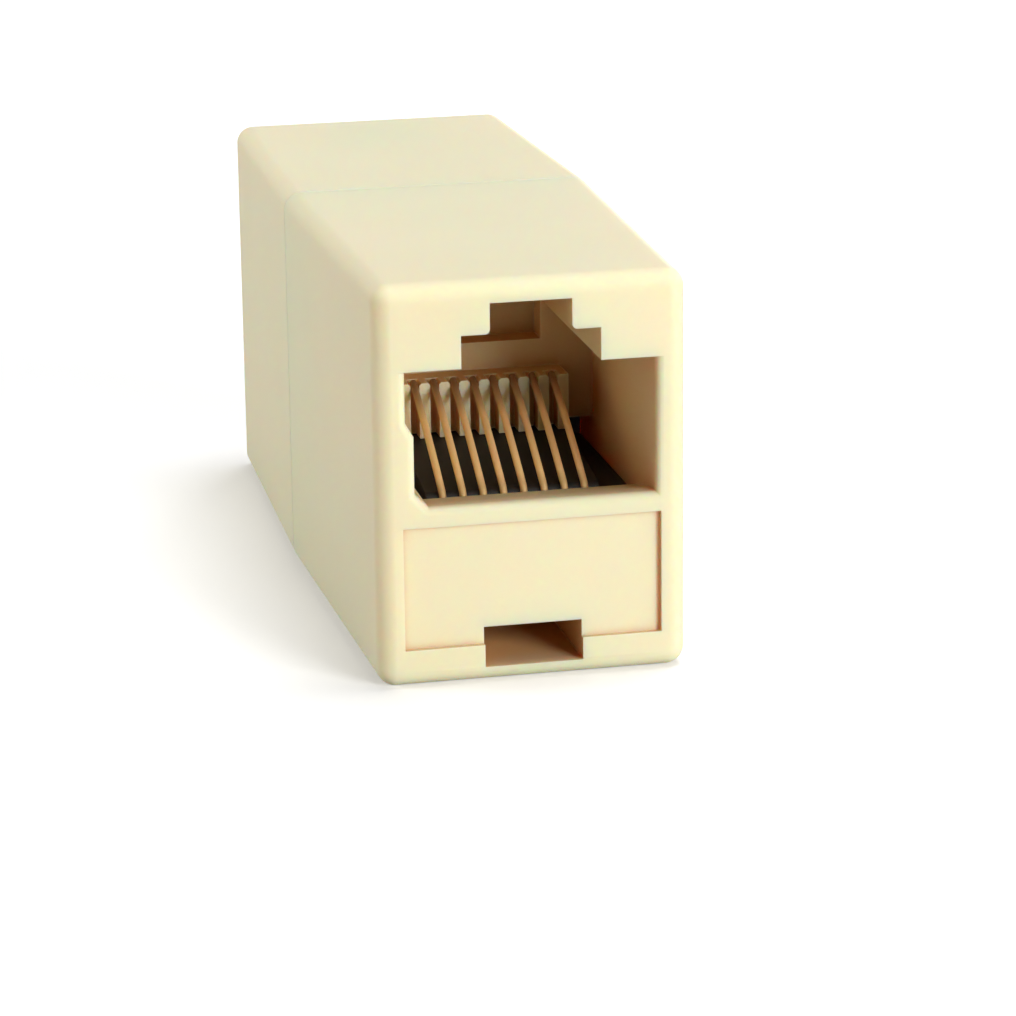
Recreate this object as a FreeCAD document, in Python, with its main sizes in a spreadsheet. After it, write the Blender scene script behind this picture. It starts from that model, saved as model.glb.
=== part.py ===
# Inline coupler with an eight-way modular socket at each end.
#
# Two moulded shells meet at a seam and close on a pair of black inserts. Each insert carries eight
# spring wires, and crimps join their tails to eight insulated leads that run from end to end.
# The front socket faces -Y with its latch channel up. The rear socket is the same socket turned
# half round about X, so its latch channel is down, and every lead runs straight from pin to pin.
#
# The frame: +Z up, +X to the right of the front face, the origin under the middle of the part.
# Lengths are millimetres and angles are degrees.
import FreeCAD, Part
import math
import os
import Sketcher

doc = FreeCAD.newDocument("InlineCoupler")
sheet = doc.addObject("Spreadsheet::Sheet", "Sizes")


def size(alias, number, meaning):
    """Writes one driving size on the sheet and gives back the name that expressions use for it."""
    row = size.rows = size.rows + 1
    sheet.set(f"A{row}", meaning)
    sheet.set(f"B{row}", str(number))
    sheet.setAlias(f"B{row}", alias)
    return f"Sizes.{alias}"


size.rows = 0

# The outside
body_length = size("body_length", 42.0, "length over both faces")
body_height = size("body_height", 20.0, "height at the seam")
seam_width = size("seam_width", 16.3, "width at the seam, the widest place")
side_draft = size("side_draft", 1.4, "taper of the two sides, from the seam to each face")
top_draft = size("top_draft", 0.35, "taper of the top")
corner_radius = size("corner_radius", 0.9, "rounding of the outer edges")
seam_bevel = size("seam_bevel", 0.1, "bevel of each shell's rim at the seam")
wall = size("wall", 1.25, "wall round the hollow middle")
side_wall = size("side_wall", 2.05, "wall beside the plug bay, at the seam's width")
rear_rim = size("rear_rim", 4.4, "rim of the rear shell, from its stop wall to the seam")

# The mouth of a socket: a wide bay for the plug, a step for the latch and a notch for its tab
step_width = size("step_width", 6.8, "width of the step, and of the latch channel behind it")
notch_width = size("notch_width", 4.0, "width of the notch in the face")
lip_top = size("lip_top", 8.95, "crest of the lip that the plug slides over")
plug_ceiling = size("plug_ceiling", 15.7, "top of the plug bay")
step_ceiling = size("step_ceiling", 17.3, "top of the step")
latch_ceiling = size("latch_ceiling", 18.8, "top of the notch and of the latch channel")
face_thickness = size("face_thickness", 1.0, "face that the latch hooks behind")
mouth_rounding = size("mouth_rounding", 0.4, "rounding of the mouth's sides and of the lip")
notch_rounding = size("notch_rounding", 0.25, "rounding of the notch's lower corners")

# The inside of a socket
plug_stop = size("plug_stop", 13.0, "face to the wall that stops the plug")
stop_wall = size("stop_wall", 2.6, "thickness of that wall")
recess_floor = size("recess_floor", 13.65, "lower edge of the recess in the stop wall")
recess_depth = size("recess_depth", 1.5, "depth of that recess")
lip_depth = size("lip_depth", 3.9, "depth of the lip, face to back")
lip_back = size("lip_back", 8.3, "height of the lip at its back edge")
rib_width = size("rib_width", 0.4, "guide rib low on the left wall of the bay")
rib_top = size("rib_top", 13.15, "top of the guide rib at the wall")
rib_slope = size("rib_slope", 0.7, "drop of the rib's sloping top")
rib_gusset = size("rib_gusset", 0.65, "gusset between the rib and the lip in the face")
comb_face = size("comb_face", 10.9, "face to the comb that keeps the wire tips apart")
comb_top = size("comb_top", 12.25, "top of the comb")
comb_slot = size("comb_slot", 0.46, "width of a slot in the comb")
slot_depth = size("slot_depth", 1.0, "depth of a slot in the comb")
tooth_bevel = size("tooth_bevel", 0.12, "bevel along the top of each tooth of the comb")
bay_floor = size("bay_floor", 6.2, "floor of the space that the insert slides into")
insert_top = size("insert_top", 9.35, "top of the insert, under the comb")
shoulder_top = size("shoulder_top", 7.8, "level top of the insert on both sides of the comb")

# The face below the mouth
panel_margin = size("panel_margin", 1.8, "housing beside the sunk panel, at the seam's width")
panel_bottom = size("panel_bottom", 1.9, "lower edge of the sunk panel")
panel_top = size("panel_top", 8.0, "upper edge of the sunk panel")
panel_depth = size("panel_depth", 0.3, "depth of the sunk panel")
slot_width = size("slot_width", 4.85, "width of the slot through the face")
slot_floor = size("slot_floor", 0.78, "floor of the slot")
slot_ceiling = size("slot_ceiling", 2.73, "ceiling of the slot")
slot_length = size("slot_length", 7.5, "length of the slot, to the cored hollow of the base")
core_margin = size("core_margin", 1.95, "wall beside the hollow that lightens the base, at the seam's width")
core_floor = size("core_floor", 1.5, "floor of that hollow")
core_ceiling = size("core_ceiling", 4.9, "ceiling of that hollow")

# The joint between the shells
spigot_length = size("spigot_length", 2.2, "how far the rear shell's spigot enters the front shell")
spigot_wall = size("spigot_wall", 0.7, "thickness of the spigot")
spigot_gap = size("spigot_gap", 0.1, "clearance round the spigot")
snap_height = size("snap_height", 0.2, "height of the snap ridge on each side of the spigot")
snap_length = size("snap_length", 8.0, "length of a snap ridge")
snap_place = size("snap_place", 1.4, "snap ridge from the seam")

# Contacts, crimps and leads
contact_count = size("contact_count", 8, "ways in a socket")
contact_pitch = size("contact_pitch", 1.016, "pitch of the contacts")
wire_thickness = size("wire_thickness", 0.36, "thickness of a contact wire, which has eight flats")
wire_run = size("wire_run", 7.1, "height of the wires' lower run")
wire_gap = size("wire_gap", 0.02, "clearance between a wire and the insert")
bend_radius = size("bend_radius", 0.75, "bend of a wire round the insert's nose, on its centre line")
wire_angle = size("wire_angle", 32.2, "rise of a wire where it leaves the bend")
bow_radius = size("bow_radius", 60.0, "gentle bow of a wire from the bend to its tip")
tip_reach = size("tip_reach", 0.5, "how far a wire's tip reaches into the comb")
tip_bevel = size("tip_bevel", 0.08, "bevel of a wire's tip")
fit_gap = size("fit_gap", 0.05, "clearance of what slides into the shells")
groove_width = size("groove_width", 0.44, "groove in the insert for a wire")
groove_start = size("groove_start", 0.6, "start of the grooves behind the nose's centre")
insert_share = size("insert_share", 0.185, "share of the hollow middle that each insert reaches into")
flange_height = size("flange_height", 0.85, "height of the flange that stops the insert")
crimp_start = size("crimp_start", 12.9, "face to the near end of a crimp")
crimp_length = size("crimp_length", 3.0, "length of a crimp")
crimp_flats = size("crimp_flats", 0.82, "width of a six-sided crimp over its flats")
crimp_bevel = size("crimp_bevel", 0.06, "bevel of a crimp's ends")
crimp_grip = size("crimp_grip", 1.4, "length of wire and of conductor inside a crimp")
lead_diameter = size("lead_diameter", 0.9, "diameter of an insulated lead")
conductor_diameter = size("conductor_diameter", 0.38, "diameter of a lead's bare conductor")
bore_gap = size("bore_gap", 0.03, "clearance round the thicker conductor in a crimp")
lead_slant = size("lead_slant", 2.0, "how far along the body a lead climbs, between its two corners")

# Sizes that follow from those above
hollow_start = f"({plug_stop} + {stop_wall})"
rear_length = f"({hollow_start} + {rear_rim})"
front_length = f"({body_length} - {rear_length})"
insert_back = f"({hollow_start} + {insert_share} * ({body_length} - 2 * {hollow_start}))"
plug_width = f"({seam_width} - 2 * {side_wall})"
panel_width = f"({seam_width} - 2 * {panel_margin})"
core_width = f"({seam_width} - 2 * {core_margin})"
half_plug = f"{plug_width} / 2"
half_step = f"{step_width} / 2"
half_notch = f"{notch_width} / 2"
comb_bottom = f"({insert_top} + {fit_gap})"
half_comb = f"((({contact_count} + 1) * {contact_pitch} - {comb_slot}) / 2)"
half_hollow = f"({seam_width} / 2 - {wall})"
half_spigot = f"({half_hollow} - {spigot_gap})"
half_bore = f"({half_spigot} - {spigot_wall})"
bay_width = f"(2 * {half_bore})"
bend_place = f"({lip_depth} + {fit_gap} + {wire_thickness} / 2 + {bend_radius})"
bend_height = f"({wire_run} + {bend_radius})"
crimp_end = f"({crimp_start} + {crimp_length})"
lead_start = f"({crimp_end} + {fit_gap})"
arc_share = 0.45

doc.recompute()


def number(expression):
    """The value of an expression over the sheet."""
    return float(sheet.evalExpression(str(expression)))


def new_body(name):
    body = doc.addObject("PartDesign::Body", name)
    body.Label = name
    return body


def put(body, in_rear=False, across="0"):
    """Places a body that is drawn with the face at y = 0: in the front, or turned half round for the rear."""
    middle = f"{body_length} / 2"
    if in_rear:
        half_turn = FreeCAD.Rotation(FreeCAD.Vector(1, 0, 0), 180)
        body.Placement = FreeCAD.Placement(FreeCAD.Vector(0, 0, 0), half_turn)
    body.setExpression("Placement.Base.x", across)
    body.setExpression("Placement.Base.y", middle if in_rear else f"-{middle}")
    body.setExpression("Placement.Base.z", body_height if in_rear else "0")
    return body


def sketch_on(body, plane_role, place, name):
    """A sketch on one of the body's own planes: XZ_Plane at the place y, YZ_Plane at x, XY_Plane at z."""
    sketch = body.newObject("Sketcher::SketchObject", name)
    plane = next(feature for feature in body.Origin.OriginFeatures if feature.Role == plane_role)
    sketch.AttachmentSupport = [(plane, "")]
    sketch.MapMode = "FlatFace"
    offset = f"-({place})" if plane_role == "XZ_Plane" else f"{place}"
    sketch.setExpression("AttachmentOffset.Base.z", offset)
    return sketch


def bound(sketch, kind, arguments, expression):
    """Adds a constraint whose value is an expression."""
    index = sketch.addConstraint(Sketcher.Constraint(kind, *arguments, number(expression)))
    sketch.setExpression(f"Constraints[{index}]", str(expression))


def pin_down(sketch, geometry, point, across, up):
    """Ties a point of the sketch to its place, across and up from the origin."""
    for kind, axis, expression in (("DistanceX", -2, across), ("DistanceY", -1, up)):
        if str(expression) == "0":
            sketch.addConstraint(Sketcher.Constraint("PointOnObject", geometry, point, axis))
        else:
            bound(sketch, kind, (-1, 1, geometry, point), expression)


def outline(sketch, corners):
    """Draws a closed outline of straight lines through corners given as pairs of expressions."""
    points = [FreeCAD.Vector(number(across), number(up), 0) for across, up in corners]
    lines = []
    for start, end in zip(points, points[1:] + points[:1]):
        lines.append(sketch.addGeometry(Part.LineSegment(start, end)))
    for line, following in zip(lines, lines[1:] + lines[:1]):
        sketch.addConstraint(Sketcher.Constraint("Coincident", line, 2, following, 1))
    for line, (across, up) in zip(lines, corners):
        pin_down(sketch, line, 1, across, up)


def rectangle(sketch, left, right, low, high):
    outline(sketch, [(left, low), (right, low), (right, high), (left, high)])


def polygon(sketch, across, up, flats, sides):
    """A regular polygon about a place, given its width over the flats, with a flat on each side."""
    corner = f"(({flats}) / 2 / cos(180 deg / {sides}))"
    outline(sketch, [(f"{across} + {corner} * cos({2 * step + 1} * 180 deg / {sides})",
                      f"{up} + {corner} * sin({2 * step + 1} * 180 deg / {sides})") for step in range(sides)])


def circle(sketch, across, up, diameter):
    centre = FreeCAD.Vector(number(across), number(up), 0)
    ring = sketch.addGeometry(Part.Circle(centre, FreeCAD.Vector(0, 0, 1), number(diameter) / 2))
    bound(sketch, "Diameter", (ring,), diameter)
    pin_down(sketch, ring, 3, across, up)


def pad(body, sketch, length, reverse=False, symmetric=False):
    """Pads a sketch along its normal, which is -Y on XZ_Plane."""
    feature = body.newObject("PartDesign::Pad", sketch.Name + "Pad")
    feature.Profile = sketch
    feature.setExpression("Length", str(length))
    feature.SideType = "Symmetric" if symmetric else "One side"
    feature.Reversed = reverse
    doc.recompute()
    return feature


def pocket(body, sketch, length, reverse=False, symmetric=False):
    """Cuts a sketch against its normal, which is +Y on XZ_Plane, and checks that something went."""
    before = body.Tip.Shape.Volume
    feature = body.newObject("PartDesign::Pocket", sketch.Name + "Pocket")
    feature.Profile = sketch
    feature.setExpression("Length", str(length))
    feature.SideType = "Symmetric" if symmetric else "One side"
    feature.Reversed = reverse
    doc.recompute()
    if not feature.Shape.Volume < before:
        raise RuntimeError(f"{feature.Name} cuts nothing")
    return feature


def row_of_ways(body, feature):
    """Repeats a feature made for the first way along +X, once for each way of the socket."""
    pattern = body.newObject("PartDesign::LinearPattern", feature.Name + "Row")
    pattern.Originals = [feature]
    x_axis = next(item for item in body.Origin.OriginFeatures if item.Role == "X_Axis")
    pattern.Direction = (x_axis, [""])
    pattern.setExpression("Length", f"({contact_count} - 1) * {contact_pitch}")
    pattern.setExpression("Occurrences", contact_count)
    body.Tip = pattern
    doc.recompute()
    return pattern


def round_edges(body, radius, wanted, kind="Fillet", setting="Radius"):
    """Rounds or bevels the edges of the body's last feature that the test picks out."""
    base = body.Tip
    names = [f"Edge{i}" for i, edge in enumerate(base.Shape.Edges, start=1) if wanted(edge)]
    if not names:
        raise RuntimeError(f"{body.Label} has no such edge")
    feature = body.newObject("PartDesign::" + kind, body.Name + kind)
    feature.Base = (base, names)
    feature.setExpression(setting, str(radius))
    doc.recompute()
    return feature


def ends_at(edge, axis, expression):
    """Whether both ends of an edge lie at one place along an axis, 0 for X, 1 for Y or 2 for Z."""
    place = number(expression)
    return all(abs(vertex.Point[axis] - place) < 1e-4 for vertex in edge.Vertexes)


def outer_block(body, length, bottom_leans):
    """The outside of a shell: a block that tapers from the seam to the face, rounded at its edges."""
    lowering = f"{length} * tan({top_draft} * 1 deg)"
    low, high = (lowering, body_height) if bottom_leans else ("0", f"{body_height} - {lowering}")
    sketch = sketch_on(body, "YZ_Plane", "0", body.Name + "Side")
    outline(sketch, [("0", low), (length, "0"), (length, body_height), ("0", high)])
    pad(body, sketch, seam_width, symmetric=True)
    narrowing = f"{length} * tan({side_draft} * 1 deg)"
    sketch = sketch_on(body, "XY_Plane", body_height, body.Name + "Taper")
    for side in ("", "-"):
        outline(sketch, [(f"{side}({seam_width} / 2 - {narrowing})", "0"), (f"{side}{seam_width} / 2", "0"),
                         (f"{side}{seam_width} / 2", length)])
    pocket(body, sketch, body_height)
    round_edges(body, corner_radius, lambda edge: not ends_at(edge, 1, length))
    round_edges(body, seam_bevel, lambda edge: ends_at(edge, 1, length), "Chamfer", "Size")


def cut_mouth(body):
    """The opening in the face: plug bay, latch step and notch, with the guide rib on the left."""
    left_rib = f"-{half_plug} + {rib_width}"
    sketch = sketch_on(body, "XZ_Plane", "0", body.Name + "Mouth")
    outline(sketch, [
        (half_plug, lip_top), (half_plug, plug_ceiling),
        (half_step, plug_ceiling), (half_step, step_ceiling),
        (half_notch, step_ceiling), (half_notch, latch_ceiling),
        (f"-{half_notch}", latch_ceiling), (f"-{half_notch}", step_ceiling),
        (f"-{half_step}", step_ceiling), (f"-{half_step}", plug_ceiling),
        (f"-{half_plug}", plug_ceiling), (f"-{half_plug}", rib_top),
        (left_rib, f"{rib_top} - {rib_slope}"), (left_rib, f"{lip_top} + {rib_gusset}"),
        (f"{left_rib} + {rib_gusset}", lip_top),
    ])
    pocket(body, sketch, face_thickness)
    corners = [half_notch, f"-{half_notch}"]
    round_edges(body, notch_rounding, lambda edge: ends_at(edge, 2, step_ceiling)
                and any(ends_at(edge, 0, corner) for corner in corners))


def cut_bay(body):
    """The plug bay behind the face, its latch channel, and the stretch above and beside the comb."""
    left_rib = f"-{half_plug} + {rib_width}"
    upper = [
        (half_plug, plug_ceiling), (half_step, plug_ceiling), (half_step, latch_ceiling),
        (f"-{half_step}", latch_ceiling), (f"-{half_step}", plug_ceiling), (f"-{half_plug}", plug_ceiling),
    ]
    sketch = sketch_on(body, "XZ_Plane", face_thickness, body.Name + "Bay")
    outline(sketch, [(half_plug, lip_top)] + upper + [
        (f"-{half_plug}", rib_top), (left_rib, f"{rib_top} - {rib_slope}"), (left_rib, lip_top)])
    pocket(body, sketch, f"{comb_face} - {face_thickness}")
    sketch = sketch_on(body, "XZ_Plane", comb_face, body.Name + "DeepBay")
    outline(sketch, [(half_plug, comb_top)] + upper + [(f"-{half_plug}", comb_top)])
    pocket(body, sketch, f"{plug_stop} - {comb_face}")
    sketch = sketch_on(body, "XZ_Plane", comb_face, body.Name + "BesideComb")
    rectangle(sketch, half_comb, half_plug, comb_bottom, comb_top)
    rectangle(sketch, f"-{half_plug}", f"-{half_comb}", comb_bottom, comb_top)
    pocket(body, sketch, f"{plug_stop} - {comb_face}")
    sketch = sketch_on(body, "XZ_Plane", plug_stop, body.Name + "LatchRecess")
    rectangle(sketch, f"-{half_step}", half_step, recess_floor, latch_ceiling)
    pocket(body, sketch, recess_depth)


def cut_insert_space(body):
    """The lip's slope down to its back edge, and the space behind it that the insert slides into."""
    left_out = f"({rib_width} + {rib_gusset})"
    sketch = sketch_on(body, "YZ_Plane", f"{left_out} / 2", body.Name + "LipSlope")
    outline(sketch, [(face_thickness, lip_top), (lip_depth, lip_back), (comb_face, lip_back), (comb_face, lip_top)])
    pocket(body, sketch, f"{plug_width} - {left_out}", symmetric=True)
    sketch = sketch_on(body, "XZ_Plane", hollow_start, body.Name + "InsertSpace")
    rectangle(sketch, f"-{bay_width} / 2", f"{bay_width} / 2", bay_floor, comb_bottom)
    pocket(body, sketch, f"{hollow_start} - {lip_depth}", reverse=True)


def cut_comb(body):
    """The slots that the wire tips ride in, one for each way."""
    first = f"-({contact_count} - 1) / 2 * {contact_pitch}"
    sketch = sketch_on(body, "XZ_Plane", comb_face, body.Name + "CombSlot")
    rectangle(sketch, f"{first} - {comb_slot} / 2", f"{first} + {comb_slot} / 2", comb_bottom, comb_top)
    row_of_ways(body, pocket(body, sketch, slot_depth))
    half_row = number(f"({contact_count} * {contact_pitch}) / 2")
    back = number(f"{comb_face} + {slot_depth}")

    def tops_tooth(edge):
        in_slots = all(abs(vertex.X) < half_row and vertex.Y < back + 0.01 for vertex in edge.Vertexes)
        return in_slots and ends_at(edge, 2, comb_top) and abs(edge.Vertexes[0].X - edge.Vertexes[-1].X) < 1e-4

    round_edges(body, tooth_bevel, tops_tooth, "Chamfer", "Size")


def cut_face(body):
    """The sunk panel, the slot below it and the cored hollow that the slot opens into."""
    sketch = sketch_on(body, "XZ_Plane", "0", body.Name + "Panel")
    rectangle(sketch, f"-{panel_width} / 2", f"{panel_width} / 2", panel_bottom, panel_top)
    pocket(body, sketch, panel_depth)
    sketch = sketch_on(body, "XZ_Plane", "0", body.Name + "Slot")
    rectangle(sketch, f"-{slot_width} / 2", f"{slot_width} / 2", slot_floor, slot_ceiling)
    pocket(body, sketch, slot_length)
    sketch = sketch_on(body, "XZ_Plane", hollow_start, body.Name + "BaseCore")
    rectangle(sketch, f"-{core_width} / 2", f"{core_width} / 2", core_floor, core_ceiling)
    pocket(body, sketch, f"{hollow_start} - {slot_length}", reverse=True)


def cut_hollow(body, length, half_width, margin):
    """The hollow middle, open at the seam, that the crimps and leads lie in."""
    sketch = sketch_on(body, "XZ_Plane", length, body.Name + "Hollow")
    rectangle(sketch, f"-{half_width}", half_width, margin, f"{body_height} - {margin}")
    pocket(body, sketch, f"{length} - {hollow_start}", reverse=True)


def soften_mouth(body):
    """Rounds the edges of the mouth that a plug slides past: the lip, the rib and the two sides."""
    low, high = number(lip_top), number(plug_ceiling)

    def guides_plug(edge):
        in_mouth = all(abs(vertex.X) < number(half_plug) + 0.01 and low - 0.01 < vertex.Z < high + 0.01
                       for vertex in edge.Vertexes)
        return in_mouth and ends_at(edge, 1, "0") and not ends_at(edge, 2, plug_ceiling)

    round_edges(body, mouth_rounding, guides_plug)


def cut_socket(body):
    cut_mouth(body)
    cut_bay(body)
    cut_insert_space(body)
    cut_comb(body)
    cut_face(body)
    soften_mouth(body)


def snap_profile(sketch, centre, height, half_base, face):
    """A low ridge on each side of the spigot, seen from above."""
    for side in ("", "-"):
        outline(sketch, [
            (f"{side}{face}", f"{centre} - {half_base}"),
            (f"{side}({face} + {height})", f"{centre}"),
            (f"{side}{face}", f"{centre} + {half_base}"),
            (f"{side}({face} - {spigot_gap})", f"{centre}"),
        ])


def make_front_shell():
    body = new_body("front_shell")
    outer_block(body, front_length, bottom_leans=False)
    cut_socket(body)
    cut_hollow(body, front_length, half_hollow, wall)
    groove_length = f"{snap_length} + 2 * {spigot_gap}"
    sketch = sketch_on(body, "XY_Plane", f"({body_height} + {groove_length}) / 2", "FrontSnapGroove")
    depth = f"({snap_height} + {spigot_gap})"
    snap_profile(sketch, f"({front_length} - {snap_place})", depth, f"2 * {depth}", half_hollow)
    pocket(body, sketch, groove_length)
    return put(body)


def make_rear_shell():
    body = new_body("rear_shell")
    outer_block(body, rear_length, bottom_leans=True)
    cut_socket(body)
    sketch = sketch_on(body, "XZ_Plane", rear_length, "Spigot")
    foot = f"({wall} + {spigot_gap})"
    rectangle(sketch, f"-{half_spigot}", half_spigot, foot, f"{body_height} - {foot}")
    pad(body, sketch, spigot_length, reverse=True)
    tip = f"({rear_length} + {spigot_length})"
    cut_hollow(body, tip, half_bore, f"({foot} + {spigot_wall})")
    sketch = sketch_on(body, "XY_Plane", f"({body_height} - {snap_length}) / 2", "RearSnapRidge")
    snap_profile(sketch, f"({rear_length} + {snap_place})", snap_height, f"2 * {snap_height}", half_spigot)
    pad(body, sketch, snap_length)
    return put(body, in_rear=True)


def make_insert(name, in_rear):
    """The black carrier: a tongue with shoulders, a round nose for the wires and a trough for the crimps."""
    body = new_body(name)
    nose_radius = f"({bend_radius} - {wire_thickness} / 2 - {wire_gap})"
    bottom = f"({bay_floor} + {fit_gap})"
    grooved = f"({bend_place} + {groove_start})"
    flange = f"({hollow_start} + {fit_gap})"
    sketch = sketch_on(body, "YZ_Plane", "0", name + "Side")
    outline(sketch, [
        (bend_place, f"{bend_height} - {nose_radius}"), (grooved, f"{bend_height} - {nose_radius}"),
        (grooved, bottom), (insert_back, bottom),
        (insert_back, f"{insert_top} + {flange_height}"), (flange, f"{insert_top} + {flange_height}"),
        (flange, insert_top), (comb_face, insert_top),
        (bend_place, f"{bend_height} + {nose_radius}"),
    ])
    pad(body, sketch, f"{bay_width} - 2 * {fit_gap}", symmetric=True)
    sketch = sketch_on(body, "YZ_Plane", "0", name + "Nose")
    circle(sketch, bend_place, bend_height, f"2 * {nose_radius}")
    pad(body, sketch, f"{bay_width} - 2 * {fit_gap}", symmetric=True)
    half_insert = f"({bay_width} / 2 - {fit_gap})"
    sketch = sketch_on(body, "XZ_Plane", flange, name + "Shoulders")
    rectangle(sketch, half_comb, half_insert, shoulder_top, insert_top)
    rectangle(sketch, f"-{half_insert}", f"-{half_comb}", shoulder_top, insert_top)
    pocket(body, sketch, flange, reverse=True)
    first = f"-({contact_count} - 1) / 2 * {contact_pitch}"
    sketch = sketch_on(body, "XZ_Plane", grooved, name + "Groove")
    groove_top = f"{wire_run} + {wire_thickness} / 2 + {wire_gap}"
    rectangle(sketch, f"{first} - {groove_width} / 2", f"{first} + {groove_width} / 2", bottom, groove_top)
    row_of_ways(body, pocket(body, sketch, f"{crimp_start} - {grooved}"))
    half_trough = f"(({contact_count} - 1) * {contact_pitch} / 2 + {lead_diameter} / 2 + {fit_gap})"
    sketch = sketch_on(body, "XZ_Plane", f"{crimp_start} - {fit_gap}", name + "Trough")
    trough_top = f"{wire_run} + {lead_diameter} / 2 + {fit_gap}"
    rectangle(sketch, f"-{half_trough}", half_trough, bottom, trough_top)
    pocket(body, sketch, f"{insert_back} - {crimp_start} + {fit_gap}")
    return put(body, in_rear)


def make_contact(name, in_rear, across):
    """A spring wire: its tail, the bend round the insert's nose and the bowed leg up to its tip."""
    body = new_body(name)
    path = sketch_on(body, "YZ_Plane", "0", name + "Path")
    rise = math.radians(number(wire_angle))
    centre = FreeCAD.Vector(number(bend_place), number(bend_height), 0)
    radius = number(bend_radius)
    bow = number(bow_radius)
    tail_end = FreeCAD.Vector(number(f"{crimp_start} + {crimp_grip}"), number(wire_run), 0)
    bottom = centre - FreeCAD.Vector(0, radius, 0)
    leaves = centre + FreeCAD.Vector(-math.sin(rise), math.cos(rise), 0) * radius
    bow_centre = leaves - FreeCAD.Vector(-math.sin(rise), math.cos(rise), 0) * bow
    tip_place = number(f"{comb_face} + {tip_reach}")
    tip_turn = math.acos((tip_place - bow_centre.x) / bow)
    tail = path.addGeometry(Part.LineSegment(tail_end, bottom))
    upward = FreeCAD.Vector(0, 0, 1)
    bend = path.addGeometry(Part.ArcOfCircle(Part.Circle(centre, upward, radius),
                                             math.pi / 2 + rise, 3 * math.pi / 2))
    leg = path.addGeometry(Part.ArcOfCircle(Part.Circle(bow_centre, upward, bow), tip_turn, math.pi / 2 + rise))
    path.addConstraint(Sketcher.Constraint("Horizontal", tail))
    path.addConstraint(Sketcher.Constraint("Tangent", tail, 2, bend, 2))
    path.addConstraint(Sketcher.Constraint("Tangent", bend, 1, leg, 2))
    pin_down(path, tail, 1, f"{crimp_start} + {crimp_grip}", wire_run)
    pin_down(path, bend, 3, bend_place, bend_height)
    bound(path, "Radius", (leg,), bow_radius)
    rise_line = path.addGeometry(Part.LineSegment(centre, leaves), True)
    path.addConstraint(Sketcher.Constraint("Coincident", rise_line, 1, bend, 3))
    path.addConstraint(Sketcher.Constraint("Coincident", rise_line, 2, bend, 1))
    bound(path, "DistanceX", (rise_line, 2, rise_line, 1), f"{bend_radius} * sin({wire_angle} * 1 deg)")
    bound(path, "DistanceX", (-1, 1, leg, 1), f"{comb_face} + {tip_reach}")
    section = sketch_on(body, "XZ_Plane", f"{crimp_start} + {crimp_grip}", name + "Section")
    polygon(section, "0", wire_run, wire_thickness, 8)
    pipe = body.newObject("PartDesign::AdditivePipe", name + "Wire")
    pipe.Profile = section
    pipe.Spine = (path, ["Edge1", "Edge2", "Edge3"])
    doc.recompute()
    above_bend = number(bend_height) + 2 * number(bend_radius)
    round_edges(body, tip_bevel, lambda edge: all(vertex.Z > above_bend for vertex in edge.Vertexes),
                "Chamfer", "Size")
    return put(body, in_rear, across)


def make_crimp(name, in_rear, across):
    """A six-sided sleeve round the tail of a wire and the bare end of a lead."""
    body = new_body(name)
    sleeve = sketch_on(body, "XZ_Plane", crimp_start, name + "Sleeve")
    polygon(sleeve, "0", wire_run, crimp_flats, 6)
    pad(body, sleeve, crimp_length, reverse=True)
    round_edges(body, crimp_bevel, lambda edge: ends_at(edge, 1, crimp_start) or ends_at(edge, 1, crimp_end),
                "Chamfer", "Size")
    bore = sketch_on(body, "XZ_Plane", crimp_start, name + "Bore")
    polygon(bore, "0", wire_run, f"{conductor_diameter} + 2 * {bore_gap}", 8)
    pocket(body, bore, crimp_length)
    return put(body, in_rear, across)


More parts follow.
